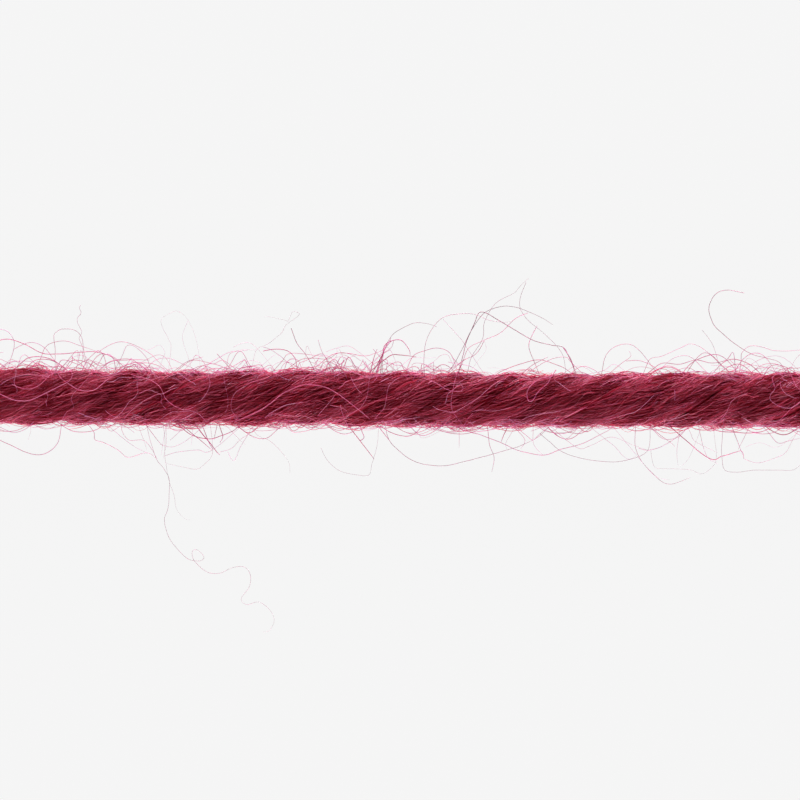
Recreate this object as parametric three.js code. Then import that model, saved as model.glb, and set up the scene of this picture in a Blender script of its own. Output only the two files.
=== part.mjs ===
// A cut length of four-ply knitting yarn, lying straight on a level surface, with the
// longest of the stray hairs that stand off it. Millimetres, +Z up. The strand runs
// along X, and the origin is under the middle of the whole yarn's box, on the surface
// that it lies on. The four plies wind round each other as an S twist: seen from any
// side they rise to the right on a strand held level.

import * as THREE from 'three';

// Driving dimensions of the strand.
const LENGTH = 44; // from cut end to cut end
const PLIES = 4;
const PLY_RADIUS = 0.66; // of one ply, squeezed a little by its neighbours
const PLY_OFFSET = 0.64; // from the strand's middle to the middle of a ply
const LEAD = 10.3; // length in which a ply goes once round the strand
const CREST_AT = -12.5; // a place along the strand where a ply is at its side
const PRESSED = 0.14; // how far the plies are flattened where they rest

// How sharp the furrow between two plies is: a lower power rounds it more.
const FURROW_POWER = 14;

// Fineness of the faceted surface.
const POINTS_PER_PLY = 8;
const STEPS = 112;

// Each ply is spun a little thicker or thinner than the next, leads or lags by a
// small angle, and swells into slubs at a spacing of its own.
const SLUB_SWELL = 0.035; // the share by which a slub swells its ply
const PLY_TABLE = [
  { thickness: 1.03, leads: 0.05, slubSpacing: 9.1, slubStart: 0.0 },
  { thickness: 0.96, leads: -0.07, slubSpacing: 12.7, slubStart: 2.1 },
  { thickness: 1.02, leads: 0.03, slubSpacing: 7.9, slubStart: 4.0 },
  { thickness: 0.98, leads: -0.02, slubSpacing: 11.3, slubStart: 5.2 },
];

// The strand lies nearly straight: how far it strays to +Y, and its girth as a
// share of the nominal one, from one end to the other.
const STATIONS = [
  { along: -22.0, side: 0.14, girth: 1.08 },
  { along: -19.2, side: 0.12, girth: 1.1 },
  { along: -14.4, side: 0.08, girth: 0.97 },
  { along: -9.6, side: 0.03, girth: 0.98 },
  { along: -4.8, side: 0.06, girth: 1.03 },
  { along: 0.0, side: -0.03, girth: 1.01 },
  { along: 4.8, side: -0.06, girth: 0.95 },
  { along: 9.6, side: -0.09, girth: 0.99 },
  { along: 14.4, side: -0.07, girth: 0.98 },
  { along: 19.2, side: -0.06, girth: 1.0 },
  { along: 22.0, side: -0.05, girth: 1.01 },
];

// Stray hairs: thin fibres with a root in the strand, which droop from its side to just
// over the surface. They are made a few times thicker than the real ones, and end a
// small gap short of the strand.
const HAIR_WIDTH = 0.1;
const HAIR_SIDES = 3;
const HAIR_STEP = 0.5; // length of one straight stretch
const HAIR_GAP = 0.32; // left between a root and the strand's ridges
const RIDGE_SPREAD = 1.07; // the thickest ply and slub, as a share of the nominal ply
const HAIR_LOW = 0.12; // least height over the surface
const DROOP = 1.35; // how far out a hair droops, in radii of the strand
const TIER = 0.42; // by how much a hair passes over one that it crosses
const TIER_STARTS = 1.62; // distance from the strand's middle where it starts to rise
const TIER_FULL = 2.1; // and where it has risen

// Each route is the places that the hair passes, seen from above: along the strand,
// and to +Y of its middle. A first or last place on the strand itself is a root.
const STRAY_HAIRS = [
  // Below the strand, as seen with +Y up, from left to right.
  {
    name: 'hanging',
    tier: 0,
    route: [
      [-12.4, -1.0], [-12.3, -2.3], [-11.3, -3.5], [-11.0, -4.9], [-11.3, -5.8],
      [-10.8, -7.1], [-9.3, -8.3], [-7.9, -8.1], [-7.2, -8.6], [-7.6, -9.6],
      [-6.9, -9.8], [-6.0, -10.7], [-6.6, -11.2],
    ],
  },
  {
    name: 'beside_hanging',
    tier: 1,
    route: [[-11.4, -1.0], [-11.3, -2.8], [-10.8, -4.6], [-10.7, -5.4], [-10.1, -5.8]],
  },
  {
    name: 'low_loop',
    tier: 2,
    route: [[-9.1, -1.0], [-9.0, -2.6], [-9.8, -3.4], [-10.4, -3.3], [-11.0, -3.2]],
  },
  {
    name: 'drooping',
    tier: 0,
    route: [[-7.2, -1.0], [-6.3, -2.0], [-5.4, -2.9], [-5.3, -3.6]],
  },
  {
    name: 'low_hook',
    tier: 1,
    route: [
      [-3.8, -2.4], [-3.5, -3.0], [-2.3, -3.7], [-1.5, -3.7], [-1.3, -3.0], [-1.2, -1.0],
    ],
  },
  {
    name: 'long_bow',
    tier: 0,
    route: [
      [-0.7, -1.0], [-0.5, -1.9], [0.5, -3.0], [1.3, -3.3], [2.3, -3.3], [5.3, -2.5],
      [7.1, -1.6], [7.4, -1.0],
    ],
  },
  {
    name: 'second_bow',
    tier: 1,
    route: [[7.4, -2.2], [8.5, -2.9], [10.3, -3.1], [11.8, -2.6], [12.0, -2.0], [12.0, -1.0]],
  },
  {
    name: 'deep_bow',
    tier: 0,
    route: [[11.3, -1.0], [11.3, -2.8], [12.2, -3.7], [12.9, -4.1], [13.9, -3.8]],
  },
  {
    name: 'right_bow',
    tier: 1,
    route: [[12.2, -3.4], [13.9, -3.5], [14.3, -3.6], [15.2, -2.9], [15.1, -2.0], [15.0, -1.0]],
  },
  {
    name: 'edge',
    tier: 0,
    route: [[15.6, -1.0], [15.5, -2.9], [15.8, -3.5], [18.0, -3.5], [19.7, -3.1]],
  },
  // Above it, from left to right.
  {
    name: 'left_loop',
    tier: 0,
    route: [
      [-16.5, 1.0], [-16.6, 2.9], [-15.9, 3.3], [-15.4, 3.1], [-15.1, 1.9], [-14.8, 1.0],
    ],
  },
  {
    name: 'squiggle',
    tier: 1,
    route: [[-15.3, 4.5], [-15.5, 3.7], [-15.3, 3.2], [-15.4, 2.8], [-15.6, 1.0]],
  },
  {
    name: 'tall_arch',
    tier: 0,
    route: [
      [-11.1, 1.0], [-11.0, 2.3], [-11.5, 3.7], [-10.7, 4.2], [-10.2, 3.8], [-9.8, 3.0],
      [-9.6, 1.0],
    ],
  },
  {
    name: 'curled_tip',
    tier: 0,
    route: [[-7.2, 1.0], [-6.9, 2.2], [-5.9, 3.0], [-5.2, 3.7], [-4.9, 4.1]],
  },
  {
    name: 'leaning',
    tier: 1,
    route: [[-5.2, 3.4], [-4.9, 2.6], [-4.1, 1.6], [-3.8, 1.0]],
  },
  {
    name: 'left_arc',
    tier: 0,
    route: [[-0.8, 1.0], [-0.8, 2.0], [0.0, 3.3], [0.7, 3.6], [1.8, 3.4]],
  },
  {
    name: 'wide_arc',
    tier: 3,
    route: [[1.2, 1.0], [1.2, 2.3], [1.9, 3.8], [3.1, 4.0], [5.4, 3.7]],
  },
  {
    name: 'bent_arc',
    tier: 1,
    route: [[1.9, 1.0], [2.9, 2.6], [3.7, 3.8], [5.2, 4.4], [6.1, 4.2], [7.3, 3.5]],
  },
  {
    name: 'steep_arch',
    tier: 0,
    route: [
      [2.7, 1.0], [3.2, 2.8], [3.9, 4.2], [5.2, 3.4], [6.9, 2.6], [7.6, 2.6], [8.1, 2.1],
      [8.4, 1.0],
    ],
  },
  {
    name: 'tall',
    tier: 2,
    route: [
      [3.2, 1.0], [3.4, 1.9], [4.0, 2.7], [4.2, 4.0], [4.8, 4.7], [5.5, 5.0], [6.2, 5.8],
    ],
  },
  {
    name: 'falling',
    tier: 3,
    route: [[6.0, 5.4], [5.8, 4.3], [6.4, 3.5], [7.3, 2.7], [7.8, 2.0], [7.9, 1.0]],
  },
  {
    name: 'slim',
    tier: 1,
    route: [[14.5, 3.3], [14.9, 2.8], [15.3, 1.7], [15.4, 1.0]],
  },
  {
    name: 'hooked',
    tier: 0,
    route: [
      [16.5, 5.0], [15.4, 5.1], [14.8, 4.2], [15.5, 3.1], [16.9, 2.1], [18.2, 1.7],
      [18.6, 1.0],
    ],
  },
];

// One column of the stations at a place along the strand, smoothly joined up.
function station(column, along) {
  const next = STATIONS.findIndex((row) => row.along >= along);
  const high = next < 0 ? STATIONS.length - 1 : Math.max(next, 1);
  const [from, to] = [STATIONS[high - 1], STATIONS[high]];
  const share = THREE.MathUtils.smoothstep(along, from.along, to.along);
  return THREE.MathUtils.lerp(from[column], to[column], share);
}

// How far the section is turned at a place along the strand, about +X. It turns
// backwards, which makes the S twist.
function layAngle(along) {
  return (-2 * Math.PI * (along - CREST_AT)) / LEAD;
}

// How far a round ply reaches from the strand's middle, in a direction turned by
// the angle away from the ply's own middle.
function plyReach(angle, radius) {
  const aside = PLY_OFFSET * Math.sin(angle);
  const beyond = Math.sqrt(Math.max(radius * radius - aside * aside, 0));
  return PLY_OFFSET * Math.cos(angle) + beyond;
}

// The strand's radius in one direction of its section, from the reach of each of
// its plies, given as a list of radii and the angles by which they lead.
function outline(angle, plies) {
  const sum = plies.reduce((total, { radius, leads }, i) => {
    const middle = (2 * Math.PI * i) / PLIES + leads;
    return total + plyReach(angle - middle, radius) ** FURROW_POWER;
  }, 0);
  return sum ** (1 / FURROW_POWER);
}

// The plies as they are spun at a place along the strand.
function unevenPlies(along) {
  const girth = station('girth', along);
  return PLY_TABLE.map(({ thickness, leads, slubSpacing, slubStart }) => {
    const slub = 1 + SLUB_SWELL * Math.sin((2 * Math.PI * along) / slubSpacing + slubStart);
    return { radius: PLY_RADIUS * thickness * slub * girth, leads };
  });
}

// A straight, even bar with one ridge for each ply.
function straightBar() {
  const evenPlies = PLY_TABLE.map(() => ({ radius: PLY_RADIUS, leads: 0 }));
  const count = PLIES * POINTS_PER_PLY;
  const section = new THREE.Shape();
  for (let i = 0; i < count; i++) {
    const angle = (2 * Math.PI * i) / count;
    const radius = outline(angle, evenPlies);
    const move = i === 0 ? 'moveTo' : 'lineTo';
    section[move](radius * Math.cos(angle), radius * Math.sin(angle));
  }
  return new THREE.ExtrudeGeometry(section, { depth: LENGTH, steps: STEPS, bevelEnabled: false });
}

// How high the strand's middle runs over the surface at a place along it.
function middleHeight(along) {
  return PLY_OFFSET + PLY_RADIUS * station('girth', along) - PRESSED;
}

// Gives the bar its uneven plies and its twist, lays it along X, and presses it
// flat where it would sink below the surface.
function layUp(geometry) {
  const place = geometry.getAttribute('position');
  for (let i = 0; i < place.count; i++) {
    const along = place.getZ(i) - LENGTH / 2;
    const inSection = Math.atan2(place.getY(i), place.getX(i));
    const radius = outline(inSection, unevenPlies(along));
    const angle = inSection + layAngle(along);
    const side = station('side', along);
    const up = Math.max(middleHeight(along) + radius * Math.sin(angle), 0);
    place.setXYZ(i, along, side + radius * Math.cos(angle), up);
  }
  return geometry;
}

// Splits each four-sided panel of the long surface along its shorter diagonal, so
// that no panel folds across the twist. A panel is six corners: a b d, b c d.
function splitAlongTwist(geometry) {
  const place = geometry.getAttribute('position');
  const corner = (i) => new THREE.Vector3().fromBufferAttribute(place, i);
  const { start, count } = geometry.groups[1];
  for (let i = start; i < start + count; i += 6) {
    const [a, b, c, d] = [corner(i), corner(i + 1), corner(i + 4), corner(i + 5)];
    if (a.distanceTo(c) < b.distanceTo(d)) {
      place.setXYZ(i + 2, c.x, c.y, c.z);
      place.setXYZ(i + 3, a.x, a.y, a.z);
    }
  }
  return geometry;
}

function twistedStrand() {
  return splitAlongTwist(layUp(straightBar()));
}

// A place on a hair: it droops from the strand to just over the surface, and passes
// over the hairs of a lower tier.
function onHair({ x, y }, tier) {
  const away = Math.abs(y - station('side', x));
  const reach = PLY_OFFSET + PLY_RADIUS;
  const drooped = Math.exp(-((away / (DROOP * reach)) ** 3));
  const raised = TIER * tier * THREE.MathUtils.smoothstep(away, TIER_STARTS, TIER_FULL);
  return new THREE.Vector3(x, y, HAIR_LOW + (middleHeight(x) + reach) * drooped + raised);
}

function clearOfStrand({ x, y, z }) {
  const ridges = PLY_OFFSET + PLY_RADIUS * RIDGE_SPREAD * station('girth', x);
  const away = Math.hypot(y - station('side', x), z - middleHeight(x));
  return away > ridges + HAIR_GAP;
}

function strayHair({ route, tier }) {
  const seen = new THREE.CatmullRomCurve3(route.map(([x, y]) => new THREE.Vector3(x, y, 0)));
  const fine = seen.getSpacedPoints(Math.ceil(seen.getLength() / (HAIR_STEP / 5)));
  const places = fine.map((place) => onHair(place, tier)).filter(clearOfStrand);
  const path = new THREE.CatmullRomCurve3(places);
  const section = new THREE.Shape();
  for (let i = 0; i < HAIR_SIDES; i++) {
    const angle = (2 * Math.PI * i) / HAIR_SIDES;
    const move = i === 0 ? 'moveTo' : 'lineTo';
    section[move]((HAIR_WIDTH / 2) * Math.cos(angle), (HAIR_WIDTH / 2) * Math.sin(angle));
  }
  const steps = Math.ceil(path.getLength() / HAIR_STEP);
  return new THREE.ExtrudeGeometry(section, { steps, extrudePath: path });
}

const dyedWool = new THREE.MeshStandardMaterial({
  color: 0x8a2a40,
  roughness: 0.85,
  metalness: 0,
});

function named(name, geometry) {
  geometry.deleteAttribute('uv');
  geometry.computeVertexNormals();
  const mesh = new THREE.Mesh(geometry, dyedWool);
  mesh.name = name;
  return mesh;
}

const yarn = new THREE.Group();
yarn.add(named('strand', twistedStrand()));
for (const hair of STRAY_HAIRS) {
  yarn.add(named(`hair_${hair.name}`, strayHair(hair)));
}

// Moves the yarn so that the middle of its box's underside is the origin.
const box = new THREE.Box3().setFromObject(yarn);
for (const mesh of yarn.children) {
  mesh.geometry.translate(
    -(box.min.x + box.max.x) / 2,
    -(box.min.y + box.max.y) / 2,
    -box.min.z,
  );
}

export default yarn;
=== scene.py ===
"""A short length of four-ply knitting yarn, with its spun fibres, fuzz and stray hairs.

The strand lies along X on the floor. The camera looks straight down on it, with +Y
up the picture, as close as the photograph does.
"""

import math

import bpy
import numpy as np
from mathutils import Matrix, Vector


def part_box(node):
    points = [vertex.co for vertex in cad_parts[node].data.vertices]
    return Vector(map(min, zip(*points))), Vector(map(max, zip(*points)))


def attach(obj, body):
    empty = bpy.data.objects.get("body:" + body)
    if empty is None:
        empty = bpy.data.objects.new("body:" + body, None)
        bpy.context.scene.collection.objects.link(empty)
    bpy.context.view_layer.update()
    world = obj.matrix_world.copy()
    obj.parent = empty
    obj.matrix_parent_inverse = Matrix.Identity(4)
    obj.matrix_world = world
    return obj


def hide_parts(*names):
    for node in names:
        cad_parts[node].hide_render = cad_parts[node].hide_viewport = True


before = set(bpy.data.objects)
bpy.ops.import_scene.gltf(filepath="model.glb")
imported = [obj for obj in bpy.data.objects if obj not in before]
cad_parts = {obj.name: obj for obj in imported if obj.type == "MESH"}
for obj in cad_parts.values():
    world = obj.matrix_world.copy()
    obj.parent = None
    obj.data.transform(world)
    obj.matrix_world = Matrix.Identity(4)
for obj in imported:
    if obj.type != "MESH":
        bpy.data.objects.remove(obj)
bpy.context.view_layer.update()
scene = bpy.context.scene

MM = 0.001

# The strand, as its solid has it.
STRAND_LOW, STRAND_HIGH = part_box("strand")
LENGTH = STRAND_HIGH.x - STRAND_LOW.x
PLY_RADIUS = 0.66 * MM
PLY_OFFSET = 0.64 * MM  # from the strand's middle to the middle of a ply
LEAD = 10.3 * MM  # length in which a ply goes once round the strand
CREST_AT = -12.5 * MM  # a place along the strand where a ply is at its side
PRESSED = 0.14 * MM  # how far the plies are flattened where they rest
FURROW_POWER = 14  # a lower power rounds the furrow between two plies
SLUB_SWELL = 0.035  # the share by which a slub swells its ply
PLIES = [
    {"thickness": 1.03, "leads": 0.05, "slub_spacing": 9.1 * MM, "slub_start": 0.0},
    {"thickness": 0.96, "leads": -0.07, "slub_spacing": 12.7 * MM, "slub_start": 2.1},
    {"thickness": 1.02, "leads": 0.03, "slub_spacing": 7.9 * MM, "slub_start": 4.0},
    {"thickness": 0.98, "leads": -0.02, "slub_spacing": 11.3 * MM, "slub_start": 5.2},
]
STATIONS = {  # in millimetres, with the girth as a share
    "along": [-22.0, -19.2, -14.4, -9.6, -4.8, 0.0, 4.8, 9.6, 14.4, 19.2, 22.0],
    "side": [0.14, 0.12, 0.08, 0.03, 0.06, -0.03, -0.06, -0.09, -0.07, -0.06, -0.05],
    "girth": [1.08, 1.1, 0.97, 0.98, 1.03, 1.01, 0.95, 0.99, 0.98, 1.0, 1.01],
}
SOLID_STEPS, SOLID_POINTS = 112, 32  # the fineness of the solid's surface
REACH = PLY_OFFSET + PLY_RADIUS  # from the strand's middle to the crest of a ply
TURN = 2 * math.pi

# The photograph's frame.
PICTURE = 800  # pixels across
PIXEL = 0.048 * MM  # what one of them spans at the strand
STRAND_ROW = 398.8  # the row along which the strand's middle runs
LENS, SENSOR = 100.0, 36.0  # a long macro lens

# How the fibres lie.
SINGLES_LEAD = 13.0 * MM  # a fibre goes once round its ply in this, as it is seen
OUTERMOST = 0.97  # how far out most fibres lie in their ply, as a share of its radius
FURROW_FLOOR = 1.1 * MM  # loose fibre fills the furrows to this far from the middle
FURROW_BLEND = 0.06 * MM  # how softly that filling meets the plies
FUZZ_SINKS = 0.6 * (REACH - FURROW_FLOOR)  # how far the fuzz follows the furrows down
FUZZ_ROOTS = 0.92  # how far out in its ply a hair of the fuzz starts, as a share
HAIR_SIDES = 3


def eased(share):
    """A share from 0 to 1 that starts and ends gently."""
    return share * share * (3 - 2 * share)


def station(column, along):
    """One column of the stations at places along the strand, smoothly joined up."""
    at = np.array(STATIONS["along"]) * MM
    values = np.array(STATIONS[column])
    high = np.clip(np.searchsorted(at, along), 1, len(at) - 1)
    share = np.clip((along - at[high - 1]) / (at[high] - at[high - 1]), 0, 1)
    return values[high - 1] + (values[high] - values[high - 1]) * eased(share)


def lay_angle(along):
    """How far the section is turned about +X: backwards, for the S twist."""
    return -TURN * (along - CREST_AT) / LEAD


def outline(angle, along):
    """The strand's radius in a direction of its untwisted section."""
    girth, total = station("girth", along), 0
    for number, ply in enumerate(PLIES):
        slub = np.sin(TURN * along / ply["slub_spacing"] + ply["slub_start"])
        radius = PLY_RADIUS * ply["thickness"] * (1 + SLUB_SWELL * slub) * girth
        turned = angle - TURN * number / len(PLIES) - ply["leads"]
        aside = PLY_OFFSET * np.sin(turned)
        beyond = np.sqrt(np.maximum(radius**2 - aside**2, 0))
        total = total + ((PLY_OFFSET * np.cos(turned) + beyond) / MM) ** FURROW_POWER
    return total ** (1 / FURROW_POWER) * MM


def side_shift():
    """How far to +Y the strand was moved, when the whole yarn's box was centred."""
    along = np.linspace(-LENGTH / 2, LENGTH / 2, SOLID_STEPS + 1)[:, None]
    angle = np.linspace(0, TURN, SOLID_POINTS, endpoint=False)[None, :]
    across = outline(angle, along) * np.cos(angle + lay_angle(along))
    across = across + station("side", along) * MM
    return (STRAND_LOW.y + STRAND_HIGH.y - across.min() - across.max()) / 2


SIDE_SHIFT = side_shift()


def middle(along):
    """Where the strand's middle runs: its place across and its height."""
    height = PLY_OFFSET + PLY_RADIUS * station("girth", along) - PRESSED
    return station("side", along) * MM + SIDE_SHIFT, height


# How far to +Y the strand's middle runs on average in the picture, and its height.
IN_VIEW = np.linspace(-0.5, 0.5, 81) * PICTURE * PIXEL  # across the picture
MIDDLE_Y, MIDDLE_Z = (float(np.mean(place)) for place in middle(IN_VIEW))
VIEW_Y = MIDDLE_Y - (PICTURE / 2 - STRAND_ROW) * PIXEL
CAMERA_ABOVE = PICTURE * PIXEL * LENS / SENSOR  # over the strand's middle


def in_picture(column, row):
    """The place across the floor that a pixel of the photograph shows, at the strand."""
    return (column - PICTURE / 2) * PIXEL, VIEW_Y + (PICTURE / 2 - row) * PIXEL


def make_camera():
    """A camera that looks straight down, with +Y up the picture."""
    data = bpy.data.cameras.new("camera")
    data.lens, data.sensor_width = LENS, SENSOR
    data.clip_start, data.clip_end = 1 * MM, 10.0
    camera = bpy.data.objects.new("camera", data)
    camera.location = (0, VIEW_Y, MIDDLE_Z + CAMERA_ABOVE)
    scene.collection.objects.link(camera)
    scene.camera = camera


make_camera()


def arithmetic(operation, reflected=False):
    """The method by which one of Python's operators adds a Math node."""

    def method(self, other):
        """What the Math node makes of both sides of the operator."""
        values = (other, self) if reflected else (self, other)
        return self.tree.maths(operation, *values)

    return method


class Value:
    """A socket of a node tree. Arithmetic on values adds the tree's Math nodes."""

    def __init__(self, tree, socket):
        self.tree, self.socket = tree, socket

    def other(self, name):
        """Another output of the same node."""
        return Value(self.tree, find(self.socket.node.outputs, name))

    def maths(self, operation, *others):
        """What a Math node makes of this value and others."""
        return self.tree.maths(operation, self, *others)

    def clamped(self, low, high):
        """This value, kept between two others."""
        return self.maths("MAXIMUM", low).maths("MINIMUM", high)

    __add__ = __radd__ = arithmetic("ADD")
    __mul__ = __rmul__ = arithmetic("MULTIPLY")
    __sub__ = arithmetic("SUBTRACT")
    __rsub__ = arithmetic("SUBTRACT", reflected=True)
    __truediv__ = arithmetic("DIVIDE")
    __pow__ = arithmetic("POWER")
    __gt__ = arithmetic("GREATER_THAN")


def find(sockets, name):
    """A socket by its place, its identifier or its name, among those in use."""
    in_use = [socket for socket in sockets if socket.enabled]
    if isinstance(name, int):
        return in_use[name]
    by_identifier = [socket for socket in in_use if socket.identifier == name]
    return (by_identifier or [socket for socket in in_use if socket.name == name])[0]


class Tree:
    """A node tree that is built with node(), maths() and values' own arithmetic."""

    def __init__(self, tree):
        self.tree = tree

    def node(self, kind, settings=None, inputs=None, output=0):
        """Adds a node with these settings, then fills its sockets by name or place."""
        node = self.tree.nodes.new(kind)
        for name, value in (settings or {}).items():
            if name == "stops":
                self.set_stops(node.color_ramp, value)
            else:
                setattr(node, name, value)
        for name, value in (inputs or {}).items():
            socket = find(node.inputs, name)
            if isinstance(value, Value):
                self.tree.links.new(value.socket, socket)
            else:
                socket.default_value = value
        return Value(self, find(node.outputs, output)) if len(node.outputs) else node

    @staticmethod
    def set_stops(ramp, stops):
        """Gives a colour ramp its places and colours."""
        while len(ramp.elements) < len(stops):
            ramp.elements.new(1.0)
        for element, (place, colour) in zip(ramp.elements, stops):
            element.position, element.color = place, colour

    def maths(self, operation, *values):
        """What a Math node makes of some values."""
        return self.node("ShaderNodeMath", {"operation": operation}, dict(enumerate(values)))

    def vector(self, x, y, z):
        """Three values as one vector."""
        return self.node("ShaderNodeCombineXYZ", None, {"X": x, "Y": y, "Z": z})

    def split(self, vector):
        """A vector's parts, of which other() gives each."""
        return self.node("ShaderNodeSeparateXYZ", None, {0: vector})

    def noise(self, place, scale, detail, output=0):
        """A smooth random value for a place."""
        sizes = {"Vector": place, "Scale": scale, "Detail": detail}
        return self.node("ShaderNodeTexNoise", None, sizes, output)

    def attribute(self, name):
        """A number that the piece keeps at its points."""
        return self.node("ShaderNodeAttribute", {"attribute_name": name}, None, "Fac")


# The inputs of a growth tree that aren't plain numbers.
INPUT_KINDS = {
    "Middle": "Object", "Material": "Material", "Seed": "Int", "Hairs": "Int", "Steps": "Int",
}


class Growth(Tree):
    """A Geometry Nodes tree with named inputs, whose lengths are in metres."""

    def __init__(self, name, *sizes):
        super().__init__(bpy.data.node_groups.new(name, "GeometryNodeTree"))
        interface = self.tree.interface
        interface.new_socket("Geometry", in_out="INPUT", socket_type="NodeSocketGeometry")
        for size in sizes:
            kind = "NodeSocket" + INPUT_KINDS.get(size, "Float")
            interface.new_socket(size, in_out="INPUT", socket_type=kind)
        interface.new_socket("Geometry", in_out="OUTPUT", socket_type="NodeSocketGeometry")
        self.entry = self.tree.nodes.new("NodeGroupInput")

    def size(self, name):
        """One of the tree's inputs."""
        return Value(self, find(self.entry.outputs, name))

    def all_along(self, value, kind="FLOAT"):
        """A value that stays the same along each hair."""
        settings = {"domain": "CURVE", "data_type": kind}
        return self.node("GeometryNodeFieldOnDomain", settings, {0: value})

    def hair_number(self):
        """The number of the hair that a point is on."""
        return self.all_along(self.node("GeometryNodeInputIndex"), "INT")

    def how_far(self):
        """How far along its hair a point is, from 0 to 1."""
        return self.node("GeometryNodeSplineParameter", None, None, "Factor")

    def random(self, low, high, stream):
        """A random number for each hair, out of a numbered stream of its own."""
        seed = self.size("Seed") + stream
        sizes = {"Min": low, "Max": high, "ID": self.hair_number(), "Seed": seed}
        drawn = self.node("FunctionNodeRandomValue", {"data_type": "FLOAT"}, sizes)
        return self.all_along(drawn)

    def wander(self, along, bends, stream):
        """Three smooth random numbers from -0.5 to 0.5 that change along a hair."""
        far_apart = self.random(0, 900, stream)
        place = self.vector(along * bends, far_apart, stream)
        split = self.split(self.noise(place, 1.0, 0.0, "Color"))
        return [split.other(axis) - 0.5 for axis in "XYZ"]

    def bare_hairs(self):
        """Straight hairs, one for each spline, that are then set in place."""
        line = self.node("GeometryNodeCurvePrimitiveLine", None, {"End": (0.0, 0.0, 1.0)})
        sizes = {"Curve": line, "Count": self.size("Steps")}
        line = self.node("GeometryNodeResampleCurve", {"mode": "COUNT"}, sizes)
        sizes = {0: line, "Amount": self.size("Hairs")}
        return self.node("GeometryNodeDuplicateElements", {"domain": "SPLINE"}, sizes)

    def strand_at(self, along):
        """The girth of the strand and its middle's place across and height."""
        line = self.node("GeometryNodeObjectInfo", None, {0: self.size("Middle")}, "Geometry")
        sampled = {
            "Curves": line,
            "Value": self.node("GeometryNodeInputRadius"),
            "Factor": (along / LENGTH + 0.5).clamped(0.0, 1.0),
        }
        settings = {"mode": "FACTOR", "use_all_curves": True}
        girth = self.node("GeometryNodeSampleCurve", settings, sampled)
        place = self.split(girth.other("Position"))
        return girth, place.other("Y"), place.other("Z")

    def placed(self, x, y, z):
        """The bare hairs, with their points at these places."""
        places = {0: self.bare_hairs(), "Position": self.vector(x, y, z)}
        return self.node("GeometryNodeSetPosition", None, places)

    def kept(self, curves, name, value):
        """The hairs, with a number kept at their points."""
        settings = {"data_type": "FLOAT", "domain": "POINT"}
        kept = {"Geometry": curves, "Name": name, "Value": value}
        return self.node("GeometryNodeStoreNamedAttribute", settings, kept)

    def spin(self, curves, radius):
        """Gives the hairs their thickness and tint, and ends the tree."""
        curves = self.kept(curves, "how_far", self.how_far())
        curves = self.kept(curves, "hair", self.hair_number())
        curves = self.kept(curves, "tint", self.random(0, 1, 9))
        tilted = {0: curves, "Tilt": self.random(0, TURN, 12)}
        curves = self.node("GeometryNodeSetCurveTilt", None, tilted)
        sizes = {"Resolution": HAIR_SIDES, "Radius": 1.0}
        ring = self.node("GeometryNodeCurvePrimitiveCircle", {"mode": "RADIUS"}, sizes)
        ring = self.kept(ring, "corner", self.node("GeometryNodeInputIndex"))
        spun = {"Curve": curves, "Profile Curve": ring, "Scale": radius, "Fill Caps": True}
        mesh = self.node("GeometryNodeCurveToMesh", None, spun)
        mesh = self.node("GeometryNodeRealizeInstances", None, {0: mesh})
        dyed = {0: mesh, "Material": self.size("Material")}
        mesh = self.node("GeometryNodeSetMaterial", None, dyed)
        out = self.tree.nodes.new("NodeGroupOutput")
        self.tree.links.new(mesh.socket, out.inputs[0])
        return self.tree


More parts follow.
